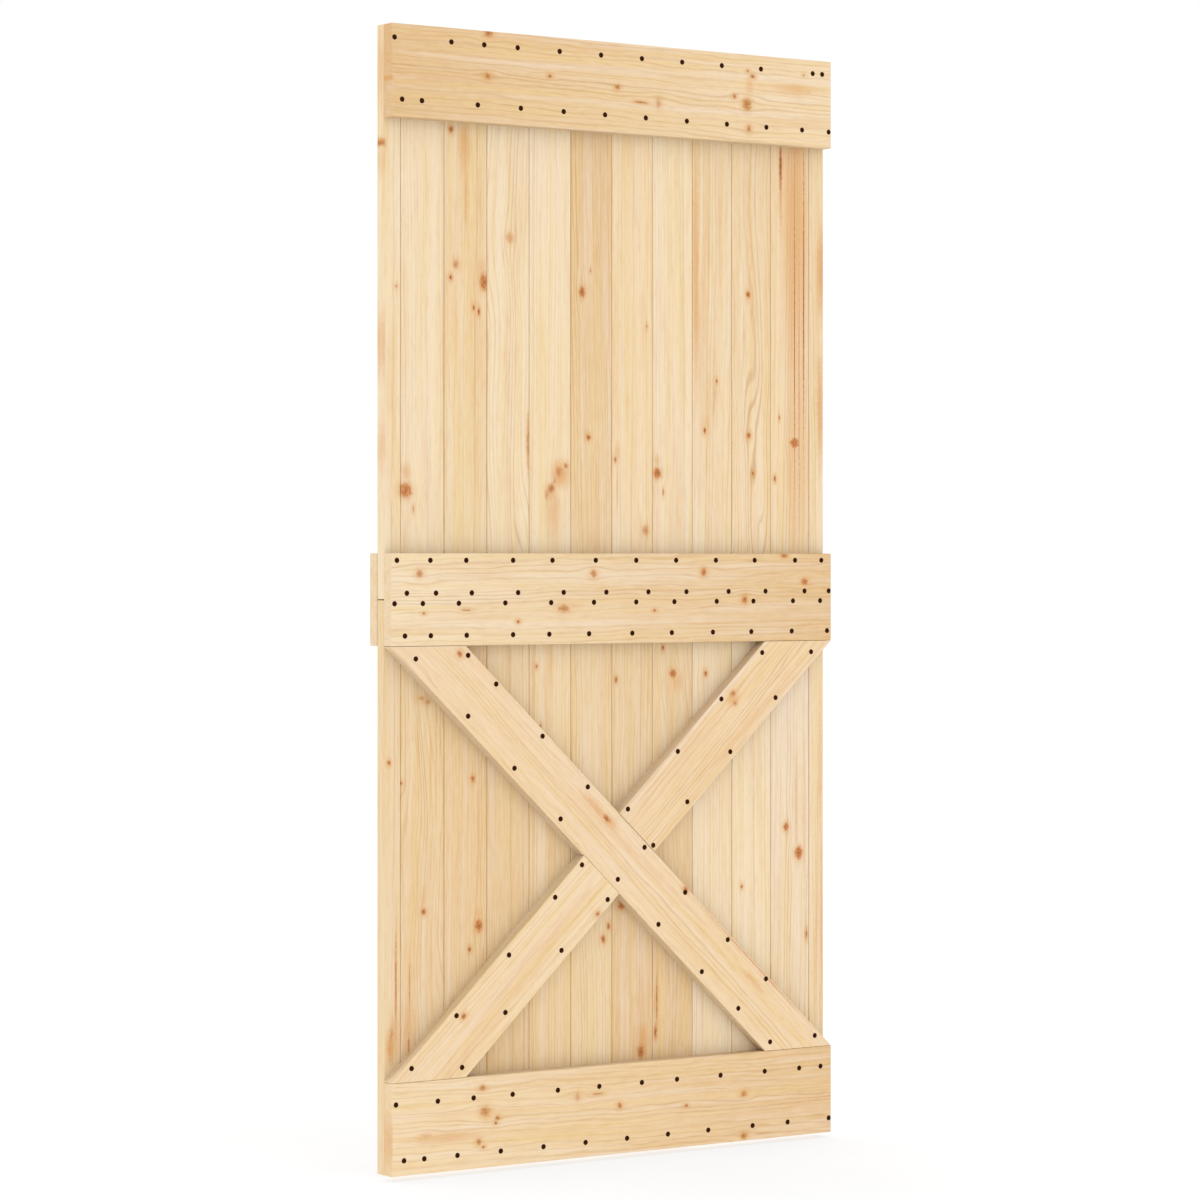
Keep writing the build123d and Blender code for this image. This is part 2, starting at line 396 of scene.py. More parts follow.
def count_way(tree, way, across, along):
    """Length of a way along the face, counted in half widths across the grain and half lengths along it."""
    share = add(tree, "VectorMath", {0: way, 1: (1 / across, 0, 1 / along)}, operation="MULTIPLY")
    return add(tree, "VectorMath", {0: share}, out="Value", operation="LENGTH")


def fade(tree, value, start, end, most):
    """Nothing up to the start, and rising smoothly to the most at the end."""
    return add(tree, "MapRange", {
        "Value": value, "From Min": start, "From Max": end, "To Min": 0.0, "To Max": most},
        interpolation_type="SMOOTHSTEP")


# Outlines of knots and streaks, in half widths from their middle: where they end and where they are full.
# A stronger knot is full further out, and a streak wider than STREAK_FRAY_MM frays less.
MARK_END = 1.3
MARK_FULL = 0.1
KNOT_SOFTNESS = 0.3
KNOT_GAIN = 1.45
KNOT_FRAY = 1.5
STREAK_FRAY = 1.5
STREAK_FRAY_MM = 6

# Rings inside a knot, and its dark heart
KNOT_RING_MM = 5.0
KNOT_RING_FRAY = 0.6
KNOT_RING_PALING = 0.25
HEART_MM = 4.5
HEART_WIDEST = 0.8

# Amber wood around a knot: the knot's half width and half length times a number, and millimetres more
HALO_WIDER, HALO_WIDER_MM = 2.2, 3
HALO_LONGER, HALO_LONGER_MM = 1.5, 10
HALO_FULL = 0.2
HALO_SHARE = 0.6

# Rings that bend around a knot: as wide as the knot times a number, longer than it by some of its half
# widths, both with millimetres more, and how far they are pushed
BEND_WIDER, BEND_WIDER_MM = 2.6, 6
BEND_LONGER_WIDTHS, BEND_LONGER_MM = 3, 25
RING_PUSH = 0.7

Marks = namedtuple("Marks", "pushed around inside heart")


def knot_body(tree, ragged, even, distance, across, strength):
    """Share of a knot's own brown: fading out at its frayed outline, with faint rings of its own."""
    wave = add(tree, "Math", {0: ragged, 1: KNOT_RING_FRAY, 2: even}, operation="MULTIPLY_ADD")
    wave = add(tree, "Math", {0: wave, 1: 2 * math.pi * across / KNOT_RING_MM}, operation="MULTIPLY")
    wave = add(tree, "Math", {0: wave}, operation="COSINE")
    paling = add(tree, "MapRange", {"Value": wave, "From Min": -1.0, "To Min": 1 - KNOT_RING_PALING})
    full = max(MARK_FULL, strength - KNOT_SOFTNESS)
    body = fade(tree, distance, MARK_END, full, min(1.0, KNOT_GAIN * strength))
    return add(tree, "Math", {0: body, 1: paling}, operation="MULTIPLY")


def ring_push(tree, way, across, along):
    """How far a knot pushes the rings near it away from its middle."""
    wide = BEND_WIDER * across + BEND_WIDER_MM
    long = along + BEND_LONGER_WIDTHS * across + BEND_LONGER_MM
    push = fade(tree, count_way(tree, way, wide, long), 1.0, 0.0, RING_PUSH)
    return add(tree, "VectorMath", {0: way, "Scale": push}, operation="SCALE")


def knot_halo(tree, way, across, along, strength):
    """Share of amber in the wood around a knot."""
    wide = HALO_WIDER * across + HALO_WIDER_MM
    long = HALO_LONGER * along + HALO_LONGER_MM
    return fade(tree, count_way(tree, way, wide, long), 1.0, HALO_FULL, HALO_SHARE * strength)


def knot_marks(tree, point, ragged, timber, grain):
    """What knots and streaks do: push the rings aside, turn the wood amber, and turn it brown inside."""
    pushed, around, inside, heart = (0.0, 0.0, 0.0), 0.0, 0.0, 0.0
    matrix = to_grain(grain)
    for x_mm, z_mm, across, along, strength in timber.knots:
        way = way_from(tree, point, matrix @ place(x_mm, z_mm))
        even = count_way(tree, way, across, along)
        distance = add(tree, "Math", {0: ragged, 1: KNOT_FRAY, 2: even}, operation="MULTIPLY_ADD")
        body = knot_body(tree, ragged, even, distance, across, strength)
        core = fade(tree, distance, min(HEART_WIDEST, HEART_MM / across), 0.0, strength)
        halo = knot_halo(tree, way, across, along, strength)
        moved = ring_push(tree, way, across, along)
        pushed = add(tree, "VectorMath", {0: pushed, 1: moved}, operation="ADD")
        around = add(tree, "Math", {0: around, 1: halo}, operation="MAXIMUM")
        inside = add(tree, "Math", {0: inside, 1: body}, operation="MAXIMUM")
        heart = add(tree, "Math", {0: heart, 1: core}, operation="MAXIMUM")
    for x_mm, z_mm, across, along, strength in timber.streaks:
        way = way_from(tree, point, matrix @ place(x_mm, z_mm))
        even = count_way(tree, way, across, along)
        fray = STREAK_FRAY * min(1.0, STREAK_FRAY_MM / across)
        distance = add(tree, "Math", {0: ragged, 1: fray, 2: even}, operation="MULTIPLY_ADD")
        resin = fade(tree, distance, MARK_END, MARK_FULL, strength)
        around = add(tree, "Math", {0: around, 1: resin}, operation="MAXIMUM")
    return Marks(pushed, around, inside, heart)


# Good and poor seasons: their noise along the years, how many years they shift a ring, the noise of a poor
# and of a good one, and how strongly the ring of a poor one shows
SEASON_SCALE = 0.37
SEASON_DETAIL = 2.0
SEASON_SHIFT = 2.2
POOR_SEASON, GOOD_SEASON = 0.35, 0.65
POOR_SHARE = 0.2

# Parts of a year between which the late wood darkens, and between which it ends
LATE_START, LATE_DARK = 0.58, 0.94
LATE_FALL, LATE_END = 0.90, 1.0


def growth_rings(tree, point, length, timber, grain):
    """Late wood of the rings around a pith that wanders along the log: thin lines, sharp on one side."""
    cut = CUTS[timber.cut]
    side = 1 if grain.seed % 2 else -1
    wander = add(tree, "VectorMath", {0: (side * cut.lean_across, cut.lean_depth, 0), "Scale": length},
                 operation="SCALE")
    wander = add(tree, "VectorMath", {0: wander, 1: (side * cut.across, cut.depth, 0)}, operation="ADD")
    spoke = add(tree, "VectorMath", {0: point, 1: wander}, operation="SUBTRACT")
    spoke = add(tree, "VectorMath", {0: spoke, 1: (1, 1, 0)}, operation="MULTIPLY")
    radius = add(tree, "VectorMath", {0: spoke}, out="Value", operation="LENGTH")
    years = add(tree, "Math", {0: radius, 1: 1 / timber.ring}, operation="MULTIPLY")
    season = add(tree, "TexNoise", {"W": years, "Scale": SEASON_SCALE, "Detail": SEASON_DETAIL}, out="Fac",
                 noise_dimensions="1D")
    years = add(tree, "Math", {0: season, 1: SEASON_SHIFT, 2: years}, operation="MULTIPLY_ADD")
    part = add(tree, "Math", {0: years}, operation="FRACT")
    rise = fade(tree, part, LATE_START, LATE_DARK, 1.0)
    fall = fade(tree, part, LATE_END, LATE_FALL, 1.0)
    line = add(tree, "Math", {0: rise, 1: fall}, operation="MULTIPLY")
    vigour = add(tree, "MapRange", {
        "Value": season, "From Min": POOR_SEASON, "From Max": GOOD_SEASON, "To Min": POOR_SHARE})
    return add(tree, "Math", {0: line, 1: vigour}, operation="MULTIPLY")


# A noise in the wood: width across the grain and length along it in millimetres, and detail
Noise = namedtuple("Noise", "width length detail")
FRAY = Noise(4, 7, 4.0)
PATCH = Noise(60, 420, 2.0)
FLECK = Noise(6, 30, 3.0)
NAP = Noise(1.2, 40, 1.0)
NOISE_MIDDLE = 0.5
NOISE_ROUGHNESS = 0.6

# Noises that are partly set elsewhere: the swing of the rings in millimetres, the length of the tone bands
# and the width and length of the broader blush in bands' widths, and the length of the fibres in their own
SWELL_WIDTH_MM, SWELL_LENGTH_MM = 55, 330
BAND_STRETCH = 36
BLUSH_BANDS, BLUSH_STRETCH = 2, 30
FIBRE_STRETCH = 40
BAND_DETAIL = 3.0
FIBRE_DETAIL = 2.0

# Steps through the noises, in millimetres: from one piece to the next, and from the bands to the blush
LOG_STEP = (131.0, 71.0, 517.0)
BLUSH_STEP = (400.0, 0.0, 0.0)


def stretched_noise(tree, point, noise, out="Fac"):
    """Noise that is stretched along the grain."""
    scale = (1 / noise.width, 1 / noise.width, 1 / noise.length)
    scaled = add(tree, "VectorMath", {0: point, 1: scale}, operation="MULTIPLY")
    return add(tree, "TexNoise", {
        "Vector": scaled, "Scale": 1.0, "Detail": noise.detail, "Roughness": NOISE_ROUGHNESS}, out=out)


# Cosines of the angle between a face's normal and the grain, between which it turns into a sawn end
END_START, END_FULL = 0.6, 0.95


def sawn_end(tree, grain):
    """One on the faces that cut across the grain, zero on those along it."""
    along = (math.cos(grain.rise), 0, math.sin(grain.rise))
    facing = add(tree, "VectorMath", {0: add(tree, "NewGeometry", out="Normal"), 1: along}, out="Value",
                 operation="DOT_PRODUCT")
    facing = add(tree, "Math", {0: facing}, operation="ABSOLUTE")
    return add(tree, "MapRange", {"Value": facing, "From Min": END_START, "From Max": END_FULL})


def facing_out(tree):
    """One on the faces that look to the front or the back, zero on those inside the joints."""
    facing = add(tree, "SeparateXYZ", {"Vector": add(tree, "NewGeometry", out="Normal")}, out="Y")
    return add(tree, "Math", {0: facing}, operation="ABSOLUTE")


# Paler specks in a knot: how ragged the wood is where they are full, and the most amber in them
MOTTLE_FULL = 0.3
MOTTLE_SHARE = 0.8


def knotty(tree, tone, ragged, marks, timber):
    """The tone with amber wood around the marks, and with brown knots that have dark hearts."""
    look = bpy.context.scene.door_pine
    amber = opaque(look.amber)
    tone = add(tree, "Mix", {0: marks.around, MIX_A: tone, MIX_B: amber}, MIX_OUT, data_type="RGBA")
    if not timber.knots:
        return tone
    brown = opaque(getattr(look, timber.body))
    mottled = fade(tree, ragged, 0.0, MOTTLE_FULL, MOTTLE_SHARE)
    brown = add(tree, "Mix", {0: mottled, MIX_A: brown, MIX_B: amber}, MIX_OUT, data_type="RGBA")
    brown = add(tree, "Mix", {0: marks.heart, MIX_A: brown, MIX_B: opaque(look.knot_heart)}, MIX_OUT,
                data_type="RGBA")
    return add(tree, "Mix", {0: marks.inside, MIX_A: tone, MIX_B: brown}, MIX_OUT, data_type="RGBA")


def bounce_darkened_for_shade(tree, tone, grain):
    """The tone, darkened for the rays that go on from one piece to the next: painted shade.

    The colours are those of a bright picture. The light that the wood throws on its neighbours is cut to the
    bounce share, so that the shade beside the ledges and in the corners stays deep. The tone that is seen
    directly stays as written. The narrow joints between boards keep the whole tone, so that they aren't too
    dark.
    """
    bounce = bpy.context.scene.door_pine.bounce
    # Diffuse rays meet a darker tone: painted shade beside the ledges and in the corners
    bounced = add(tree, "LightPath", out="Is Diffuse Ray")
    if grain.jointed:
        bounced = add(tree, "Math", {0: bounced, 1: facing_out(tree)}, operation="MULTIPLY")
    return add(tree, "Mix", {0: bounced, MIX_A: tone, MIX_B: opaque((bounce, bounce, bounce))}, MIX_OUT,
               data_type="RGBA", blend_type="MULTIPLY")


# Patches of the wood in which the rings show less: the noise at which they are faintest and clearest, and
# the share that shows in the faintest. Then the share that shows on a sawn end.
PATCH_FAINT, PATCH_CLEAR = 0.35, 0.6
PATCH_SHARE = 0.5
END_SHARE = 0.3

# Planed late wood is a little harder and smoother than the early wood beside it. The nap is how far the
# fibres of the planed face stand up.
EARLY_ROUGHNESS, LATE_ROUGHNESS = 0.66, 0.52
NAP_MM = 0.15
NAP_STRENGTH = 0.3
PINE_IOR = 1.45
PINE_GLOSS = 0.35


def pine(name, timber, grain):
    """Planed softwood: thin ring lines, bands of paler and warmer wood, fine fibres and brown knots.

    The rings lie in the whole log, so that they run as lines and arches along the faces and as arcs on
    the ends. Pine fibres are far thinner than a pixel, so that they are drawn as wide as fibre_mm.
    """
    look = bpy.context.scene.door_pine
    material, tree = new_material(name)
    point = grain_point(tree, grain)
    length = add(tree, "SeparateXYZ", {"Vector": point}, out="Z")
    log = add(tree, "VectorMath", {0: point, 1: [step * grain.seed for step in LOG_STEP]}, operation="ADD")

    # Grain
    cut = CUTS[timber.cut]
    swell = stretched_noise(tree, log, Noise(SWELL_WIDTH_MM, SWELL_LENGTH_MM, cut.uneven), "Color")
    swell = add(tree, "VectorMath", {0: swell, 1: (NOISE_MIDDLE,) * 3}, operation="SUBTRACT")
    wavy = add(tree, "VectorMath", {0: swell, 1: (cut.swing, cut.swing, 0.0), 2: point},
               operation="MULTIPLY_ADD")
    marked = bool(timber.knots or timber.streaks)
    if marked:
        ragged = stretched_noise(tree, log, FRAY)
        ragged = add(tree, "Math", {0: ragged, 1: NOISE_MIDDLE}, operation="SUBTRACT")
        marks = knot_marks(tree, point, ragged, timber, grain)
    if timber.knots:
        wavy = add(tree, "VectorMath", {0: marks.pushed, 1: (-1, 0, 0), 2: wavy}, operation="MULTIPLY_ADD")
    sawn = sawn_end(tree, grain)
    on_end = add(tree, "MapRange", {"Value": sawn, "To Min": 1.0, "To Max": END_SHARE})
    showing = add(tree, "MapRange", {
        "Value": stretched_noise(tree, log, PATCH), "From Min": PATCH_FAINT, "From Max": PATCH_CLEAR,
        "To Min": PATCH_SHARE})
    showing = add(tree, "Math", {0: showing, 1: on_end}, operation="MULTIPLY")
    rings = growth_rings(tree, wavy, length, timber, grain)
    rings = add(tree, "Math", {0: rings, 1: showing}, operation="MULTIPLY")
    band_mm = look.band_mm
    band = stretched_noise(tree, log, Noise(band_mm, BAND_STRETCH * band_mm, BAND_DETAIL))
    shifted = add(tree, "VectorMath", {0: log, 1: BLUSH_STEP}, operation="ADD")
    blush = stretched_noise(tree, shifted, Noise(BLUSH_BANDS * band_mm, BLUSH_STRETCH * band_mm, BAND_DETAIL))
    fibre = stretched_noise(tree, wavy, Noise(look.fibre_mm, FIBRE_STRETCH * look.fibre_mm, FIBRE_DETAIL))
    fleck = stretched_noise(tree, log, FLECK)

    # Colour, in layers: what drives each, where it starts and is full, the most of it, and its tone
    drift = add(tree, "MapRange", {
        "Value": length, "From Min": -grain.length / 2, "From Max": grain.length / 2})
    foot = opaque(getattr(look, timber.foot))
    head = opaque(getattr(look, timber.head))
    tone = add(tree, "Mix", {0: drift, MIX_A: foot, MIX_B: head}, MIX_OUT, data_type="RGBA")
    layers = [
        (band, 0.50, 0.72, 0.54, look.lemon),
        (band, 0.50, 0.28, 0.50, look.sap),
        (blush, 0.52, 0.80, 0.35, look.amber),
        (rings, 0.0, 1.0, timber.contrast, look.late_wood),
        (fibre, 0.50, 0.80, 0.14, look.late_wood),
        (fibre, 0.50, 0.20, 0.20, look.sap),
        (fleck, 0.50, 0.80, 0.15, look.late_wood),
        (fleck, 0.50, 0.20, 0.20, look.sap),
        (sawn, 0.0, 1.0, 0.12, look.late_wood),
    ]
    for source, start, full, most, colour in layers:
        share = add(tree, "MapRange", {
            "Value": source, "From Min": start, "From Max": full, "To Min": 0.0, "To Max": most})
        tone = add(tree, "Mix", {0: share, MIX_A: tone, MIX_B: opaque(colour)}, MIX_OUT, data_type="RGBA")
    if marked:
        tone = knotty(tree, tone, ragged, marks, timber)

    # Surface
    roughness = add(tree, "MapRange", {"Value": rings, "To Min": EARLY_ROUGHNESS, "To Max": LATE_ROUGHNESS})
    nap = stretched_noise(tree, log, NAP)
    bump = add(tree, "Bump", {"Height": nap, "Strength": NAP_STRENGTH, "Distance": NAP_MM * MM}, out="Normal")
    shader = tree.nodes["Principled BSDF"]
    # Base colour, with painted shade in the bounced light only
    tree.links.new(bounce_darkened_for_shade(tree, tone, grain), shader.inputs["Base Color"])
    tree.links.new(roughness, shader.inputs["Roughness"])
    tree.links.new(bump, shader.inputs["Normal"])
    shader.inputs["IOR"].default_value = PINE_IOR
    shader.inputs["Specular IOR Level"].default_value = PINE_GLOSS
    return material


def dress(node, timber, rise, seed, jointed=False):
    """Pine for one CAD piece, named after it, with its grain along the given rise."""
    low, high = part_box(node)
    size = (high - low) / MM
    length = abs(size.x * math.cos(rise)) + abs(size.z * math.sin(rise))
    return pine("planed_pine_" + node, timber, Grain((low + high) / 2, rise, length, seed, jointed))


# Specks of wear on the screws: their size, where they start and are full in their noise, and how rough the
# skin is from its dullest to its most rubbed
SPECK_MM = 0.9
SPECK_DETAIL = 3.0
WEAR_START, WEAR_FULL = 0.5, 0.8
SKIN_ROUGHNESS, RUBBED_ROUGHNESS = 0.75, 0.55
SKIN_GLOSS = 0.05


def phosphated_steel():
    """Steel with an oiled brown-black phosphate skin: dark and nearly matt, rubbed browner in specks."""
    screw = bpy.context.scene.door_screws
    material, tree = new_material("phosphated_screw_steel")
    point = add(tree, "TexCoord", out="Object")
    speck = add(tree, "TexNoise", {"Vector": point, "Scale": 1 / (SPECK_MM * MM), "Detail": SPECK_DETAIL},
                out="Fac")
    wear = add(tree, "MapRange", {"Value": speck, "From Min": WEAR_START, "From Max": WEAR_FULL})
    colour = add(tree, "Mix", {0: wear, MIX_A: opaque(screw.colour), MIX_B: opaque(screw.worn_colour)},
                 MIX_OUT, data_type="RGBA")
    roughness = add(tree, "MapRange", {"Value": speck, "To Min": SKIN_ROUGHNESS, "To Max": RUBBED_ROUGHNESS})
    shader = tree.nodes["Principled BSDF"]
    tree.links.new(colour, shader.inputs["Base Color"])
    tree.links.new(roughness, shader.inputs["Roughness"])
    shader.inputs["Specular IOR Level"].default_value = SKIN_GLOSS
    return material


def seen_directly(tree):
    """One for the rays of the camera, of gloss and of glass, zero for the rays that only bring light."""
    path = add(tree, "LightPath").node.outputs
    seen = add(tree, "Math", {0: path["Is Camera Ray"], 1: path["Is Glossy Ray"]}, operation="MAXIMUM")
    return add(tree, "Math", {0: seen, 1: path["Is Transmission Ray"]}, operation="MAXIMUM")


# Floor paint: size of its faint patches, its darkest and palest grey under the glow, and the glow
PAINT_PATCH_MM = 625
PAINT_DETAIL = 3.0
PAINT_DARK, PAINT_PALE = 0.30, 0.40
PAINT_GLOW = 0.70


def painted_floor():
    """Matt painted studio floor: even white to the eye, with only a soft shadow under the door.

    Light from below passes through it, as in a room that is lit from all sides.
    """
    material, tree = new_material("matt_painted_floor")
    point = add(tree, "TexCoord", out="Object")
    mottle = add(tree, "TexNoise", {
        "Vector": point, "Scale": 1 / (PAINT_PATCH_MM * MM), "Detail": PAINT_DETAIL}, out="Fac")
    tint = add(tree, "MapRange", {"Value": mottle, "To Min": PAINT_DARK, "To Max": PAINT_PALE})
    faint = add(tree, "BsdfDiffuse", {"Color": tint})
    glow = add(tree, "Emission", {"Color": WHITE, "Strength": PAINT_GLOW})
    white = add(tree, "AddShader", {0: faint, 1: glow})
    both = add(tree, "MixShader", {0: seen_directly(tree), 1: add(tree, "BsdfTransparent"), 2: white})
    tree.links.new(both, tree.nodes["Material Output"].inputs["Surface"])
    return material


def set_material(obj, material):
    """Give an object this one material."""
    obj.data.materials.clear()
    obj.data.materials.append(material)


def build_mesh(name, maker, *sizes):
    """Mesh that maker shapes in a bmesh."""
    shape = bmesh.new()
    maker(shape, *sizes)
    mesh = bpy.data.meshes.new(name)
    shape.to_mesh(mesh)
    shape.free()
    return mesh


def link(name, mesh):
    """Object at the origin with this mesh."""
    obj = bpy.data.objects.new(name, mesh)
    bpy.context.scene.collection.objects.link(obj)
    return obj


def shade(mesh, angle):
    """Smooth shading, with edges sharper than the angle left hard."""
    mesh.shade_smooth()
    mesh.set_sharp_from_angle(angle=angle)


# Screw heads and holes: sides of their rounds, points of the drive's star, how far in every second point
# lies, how much narrower the drive is at its bottom, and how far a hole's cutter stands out of the wood
ROUND_SEGMENTS = 16
DRIVE_POINTS = 12
DRIVE_WAIST = 0.72
DRIVE_TAPER = 0.9
CUTTER_ABOVE = 1.0 * MM

# Edges that turn less than this are shaded as soft ones
SOFT_EDGE = math.radians(32)


def loop_of(ring):
    """Edges between the vertices of a ring."""
    return list({edge for vert in ring for edge in vert.link_edges})


def sink_loop(shape, loop, depth, share):
    """Extrude a round loop down by a depth, drawn in or out to a share of its radius."""
    extruded = bmesh.ops.extrude_edge_only(shape, edges=loop)["geom"]
    ring = [part for part in extruded if isinstance(part, bmesh.types.BMVert)]
    bmesh.ops.translate(shape, verts=ring, vec=(0, 0, -depth))
    bmesh.ops.scale(shape, verts=ring, vec=(share, share, 1))
    return [part for part in extruded if isinstance(part, bmesh.types.BMEdge)]


def countersink(shape, screw):
    """Cutter of one screw's hole, along Z, with its mouth above the wood's face at the origin."""
    mouth = screw.head_diameter / 2 + screw.clearance
    neck = (screw.shank_diameter / 2 + screw.clearance) / mouth
    ring = bmesh.ops.create_circle(shape, cap_ends=True, segments=ROUND_SEGMENTS, radius=mouth)["verts"]
    bmesh.ops.translate(shape, verts=ring, vec=(0, 0, CUTTER_ABOVE))
    loop = sink_loop(shape, loop_of(ring), CUTTER_ABOVE + screw.sink, 1.0)
    loop = sink_loop(shape, loop, screw.head_depth, neck)
    loop = sink_loop(shape, loop, screw.head_depth, 1.0)
    bmesh.ops.contextual_create(shape, geom=loop)
    bmesh.ops.recalc_face_normals(shape, faces=shape.faces)


def screw_head(shape, screw):
    """Raised countersunk head with a six-lobed drive, along Z, its rim below the wood at the origin."""
    rim = bmesh.ops.create_circle(shape, segments=ROUND_SEGMENTS, radius=screw.head_diameter / 2)["verts"]
    drive = bmesh.ops.create_circle(shape, segments=DRIVE_POINTS, radius=screw.drive_diameter / 2)["verts"]
    bmesh.ops.scale(shape, verts=drive[::2], vec=(DRIVE_WAIST, DRIVE_WAIST, 1))
    bmesh.ops.translate(shape, verts=drive, vec=(0, 0, screw.crown))
    rim_loop = loop_of(rim)
    drive_loop = loop_of(drive)
    bmesh.ops.bridge_loops(shape, edges=rim_loop + drive_loop)
    bmesh.ops.contextual_create(shape, geom=sink_loop(shape, drive_loop, screw.drive_depth, DRIVE_TAPER))
    cone = sink_loop(shape, rim_loop, screw.head_depth, screw.shank_diameter / screw.head_diameter)
    bmesh.ops.contextual_create(shape, geom=cone)
    bmesh.ops.translate(shape, verts=shape.verts, vec=(0, 0, -screw.sink))
    bmesh.ops.recalc_face_normals(shape, faces=shape.faces)


def screw_places(node):
    """Place of every screw head on one piece, and the turn that points its screws into the wood."""
    if node == "middle_rail_back":
        rows = RAIL_SCREWS["middle_rail_front"]
        fronts = [place(x, z) for z, row in rows.items() for x in row]
        spots = [Vector((LEFT + RIGHT - spot.x, BACK, spot.z)) for spot in fronts]
        return spots, Matrix.Rotation(-math.pi / 2, 4, "X")
    if node in RAIL_SCREWS:
        spots = [place(x, z) for z, row in RAIL_SCREWS[node].items() for x in row]
    else:
        spots = [place(x, z) for x, z in BRACE_SCREWS[node]]
    return spots, Matrix.Rotation(math.pi / 2, 4, "X")


# Turn from each screw to the next, in radians
TURN_BETWEEN_SCREWS = 2.4


def repeat(shape, pattern, node):
    """Copy a small mesh to every screw of a piece, each turned differently about its own axis."""
    spots, aim = screw_places(node)
    for index, spot in enumerate(spots):
        before = len(shape.verts)
        shape.from_mesh(pattern)
        shape.verts.ensure_lookup_table()
        turn = aim @ Matrix.Rotation(TURN_BETWEEN_SCREWS * index, 4, "Z")
        bmesh.ops.transform(shape, verts=shape.verts[before:], matrix=Matrix.Translation(spot) @ turn)


# Points nearer than this are one, and faces that turn less than this are one
SAME_POINT = 0.01 * MM
SAME_FACE = math.radians(0.5)


def merged_copy(shape, source):
    """A CAD piece's triangles as one closed skin of flat faces."""
    shape.from_mesh(source)
    bmesh.ops.remove_doubles(shape, verts=shape.verts, dist=SAME_POINT)
    bmesh.ops.dissolve_limit(shape, angle_limit=SAME_FACE, verts=shape.verts, edges=shape.edges)


def drill(node, timber, rise, seed):
    """Stand a copy of a CAD piece in its place, with a countersunk hole for each screw, in pine."""
    screw = bpy.context.scene.door_screws
    piece = link(node + "_drilled", build_mesh(node, merged_copy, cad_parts[node].data))
    hole = build_mesh("hole", countersink, screw)
    cutters = link(node + "_holes", build_mesh("holes", repeat, hole, node))
    cut = piece.modifiers.new("Holes", "BOOLEAN")
    cut.operation = "DIFFERENCE"
    cut.solver = "EXACT"
    cut.object = cutters
    graph = bpy.context.evaluated_depsgraph_get()
    drilled = bpy.data.meshes.new_from_object(piece.evaluated_get(graph))
    piece.modifiers.clear()
    piece.data = drilled
    bpy.data.objects.remove(cutters)
    shade(drilled, SOFT_EDGE)
    flatten = piece.modifiers.new("Flat Faces", "WEIGHTED_NORMAL")
    flatten.keep_sharp = True
    set_material(piece, dress(node, timber, rise, seed))
    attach(piece, "root")
    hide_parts(node)


def brace_slope():
    """Rise of the braces, from the height and width of the full one and the length of its level cuts."""
    low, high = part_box("brace_full")
    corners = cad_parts["brace_full"].data.vertices
    level_cut = [corner.co.x for corner in corners if high.z - corner.co.z < SAME_POINT]
    return math.atan2(high.z - low.z, high.x - low.x - (max(level_cut) - min(level_cut)))


# Seeds of the first piece of each kind
BOARD_SEED = 1
RAIL_SEED = 41
BRACE_SEED = 61


class DOOR_OT_boards(bpy.types.Operator):
    """Give every board of both half panels its own pine"""

    bl_idname = "door.boards"
    bl_label = "Pine Boards"

    def execute(self, context):
        for seed, (node, timber) in enumerate(BOARDS.items(), start=BOARD_SEED):
            set_material(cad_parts[node], dress(node, timber, math.pi / 2, seed, jointed=True))
        return {"FINISHED"}


class DOOR_OT_rails(bpy.types.Operator):
    """Drill the four rails for their screws and give them pine"""

    bl_idname = "door.rails"
    bl_label = "Drilled Rails"

    def execute(self, context):
        for seed, (node, timber) in enumerate(RAILS.items(), start=RAIL_SEED):
            drill(node, timber, 0.0, seed)
        return {"FINISHED"}


class DOOR_OT_braces(bpy.types.Operator):
    """Drill the braces for their screws and give them pine along their own slope"""

    bl_idname = "door.braces"
    bl_label = "Drilled Braces"

    def execute(self, context):
        slope = brace_slope()
        for seed, (node, timber) in enumerate(BRACES.items(), start=BRACE_SEED):
            drill(node, timber, -slope if node == "brace_full" else slope, seed)
        return {"FINISHED"}


class DOOR_OT_screws(bpy.types.Operator):
    """Set a countersunk screw in every drilled hole"""

    bl_idname = "door.screws"
    bl_label = "Countersunk Screws"

    def execute(self, context):
        pattern = build_mesh("screw", screw_head, context.scene.door_screws)
        steel = phosphated_steel()
        for node in (*RAILS, *BRACES):
            screws = link(node + "_screws", build_mesh(node + "_screws", repeat, pattern, node))
            shade(screws.data, SOFT_EDGE)
            set_material(screws, steel)
            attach(screws, "root")
        return {"FINISHED"}


# Floor: squares along each side, and half its side in metres
FLOOR_SQUARES = 8
FLOOR_REACH = 40.0

# Camera: width of its sensor in millimetres, and how far it sees in metres
SENSOR_WIDTH = 36.0
SIGHT = 200.0


def floor_sheet(shape, height):
    """Flat square sheet, wide enough to reach past the picture."""
    bmesh.ops.create_grid(shape, x_segments=FLOOR_SQUARES, y_segments=FLOOR_SQUARES, size=FLOOR_REACH)
    bmesh.ops.translate(shape, verts=shape.verts, vec=(0, 0, height))


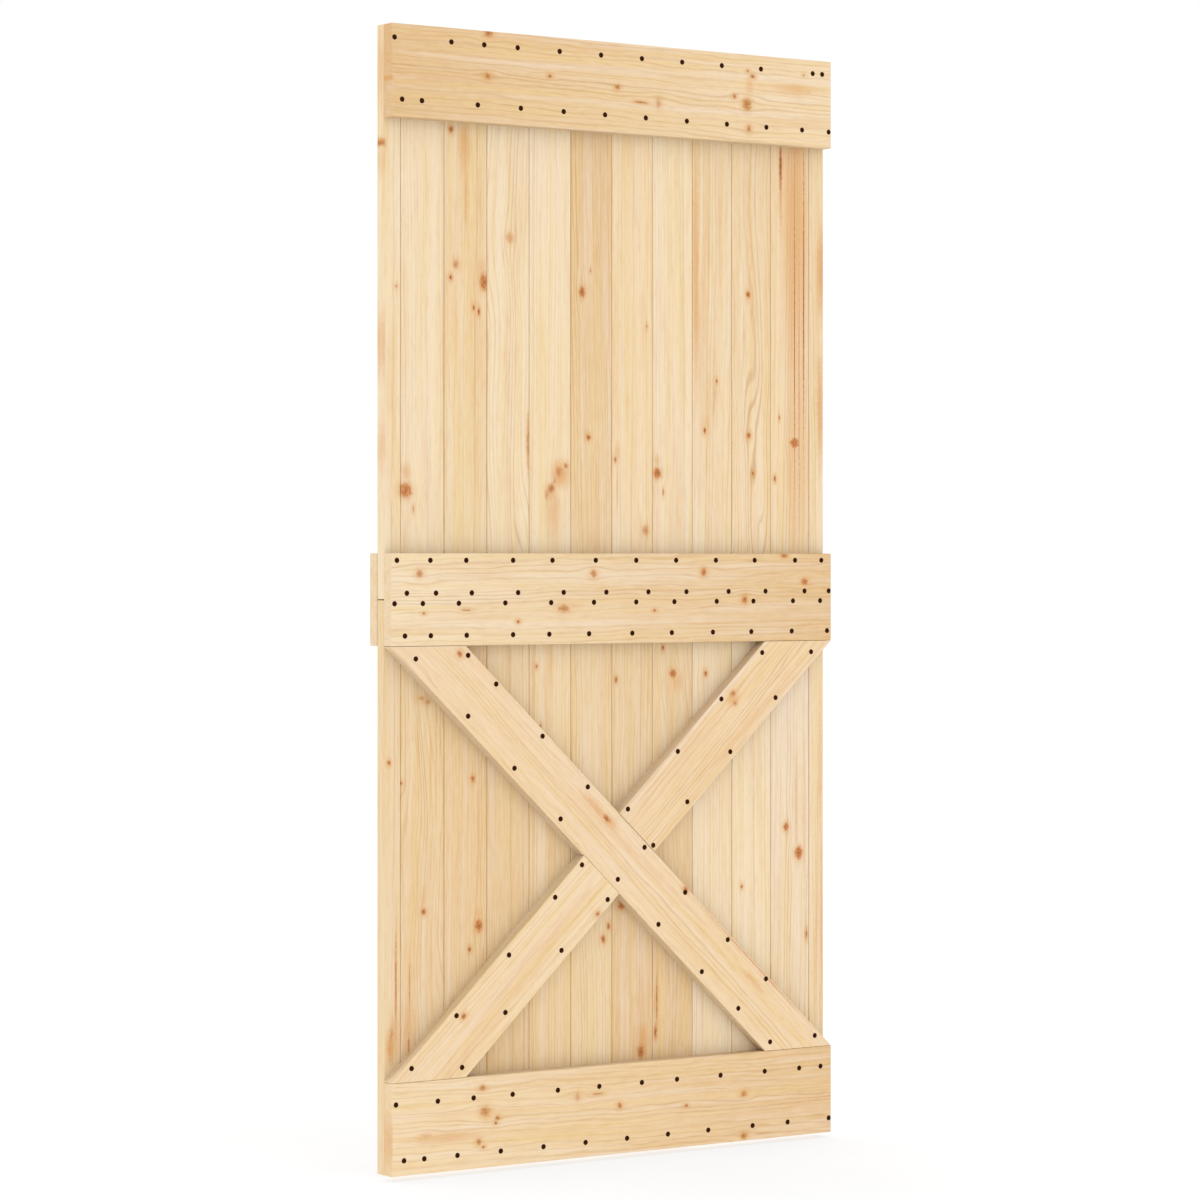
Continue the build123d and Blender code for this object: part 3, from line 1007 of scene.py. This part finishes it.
class DOOR_OT_stage(bpy.types.Operator):
    """Pale floor, soft even light and the camera"""

    bl_idname = "door.stage"
    bl_label = "Studio"

    def execute(self, context):
        stage = context.scene.door_stage
        context.scene.view_settings.view_transform = "Standard"
        floor = link("studio_floor", build_mesh("studio_floor", floor_sheet, BOTTOM - stage.floor_drop))
        set_material(floor, painted_floor())
        self.light_room(context)
        self.set_camera(context)
        return {"FINISHED"}

    def light_room(self, context):
        """Even light from all sides, white to the camera."""
        world = bpy.data.worlds.new("studio")
        context.scene.world = world
        world.use_nodes = True
        tree = world.node_tree
        light = add(tree, "Background", {"Color": WHITE, "Strength": context.scene.door_stage.ambient})
        white = add(tree, "Background", {"Color": WHITE, "Strength": 1.0})
        both = add(tree, "MixShader", {0: seen_directly(tree), 1: light, 2: white})
        tree.links.new(both, tree.nodes["World Output"].inputs["Surface"])

    def set_camera(self, context):
        """Level camera on the left, with its lens shifted."""
        stage = context.scene.door_stage
        data = bpy.data.cameras.new("camera")
        data.sensor_width = SENSOR_WIDTH
        data.lens = stage.lens
        data.shift_y = stage.drop
        data.clip_end = SIGHT
        camera = bpy.data.objects.new("camera", data)
        camera.location = stage.camera_place
        camera.rotation_euler = (math.pi / 2, 0.0, -stage.camera_turn)
        context.scene.collection.objects.link(camera)
        context.scene.camera = camera


OPERATORS = (DOOR_OT_boards, DOOR_OT_rails, DOOR_OT_braces, DOOR_OT_screws, DOOR_OT_stage)


class DOOR_PT_looks(bpy.types.Panel):
    """Steps that dress the door, in order"""

    bl_label = "Barn Door"
    bl_idname = "DOOR_PT_looks"
    bl_space_type = "VIEW_3D"
    bl_region_type = "UI"
    bl_category = "Barn Door"

    def draw(self, context):
        for operator in OPERATORS:
            self.layout.operator(operator.bl_idname)


GROUPS = {"door_pine": PineProperties, "door_screws": ScrewProperties, "door_stage": StageProperties}


def register():
    """Make the settings, the operators and the panel known."""
    for name, group in GROUPS.items():
        bpy.utils.register_class(group)
        setattr(bpy.types.Scene, name, bpy.props.PointerProperty(type=group))
    for part in (*OPERATORS, DOOR_PT_looks):
        bpy.utils.register_class(part)


def unregister():
    """Take the panel, the operators and the settings away."""
    for part in (DOOR_PT_looks, *reversed(OPERATORS)):
        bpy.utils.unregister_class(part)
    for name, group in GROUPS.items():
        delattr(bpy.types.Scene, name)
        bpy.utils.unregister_class(group)


def main():
    """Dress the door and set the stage."""
    register()
    bpy.ops.door.boards()
    bpy.ops.door.rails()
    bpy.ops.door.braces()
    bpy.ops.door.screws()
    bpy.ops.door.stage()


if __name__ == "__main__":
    main()
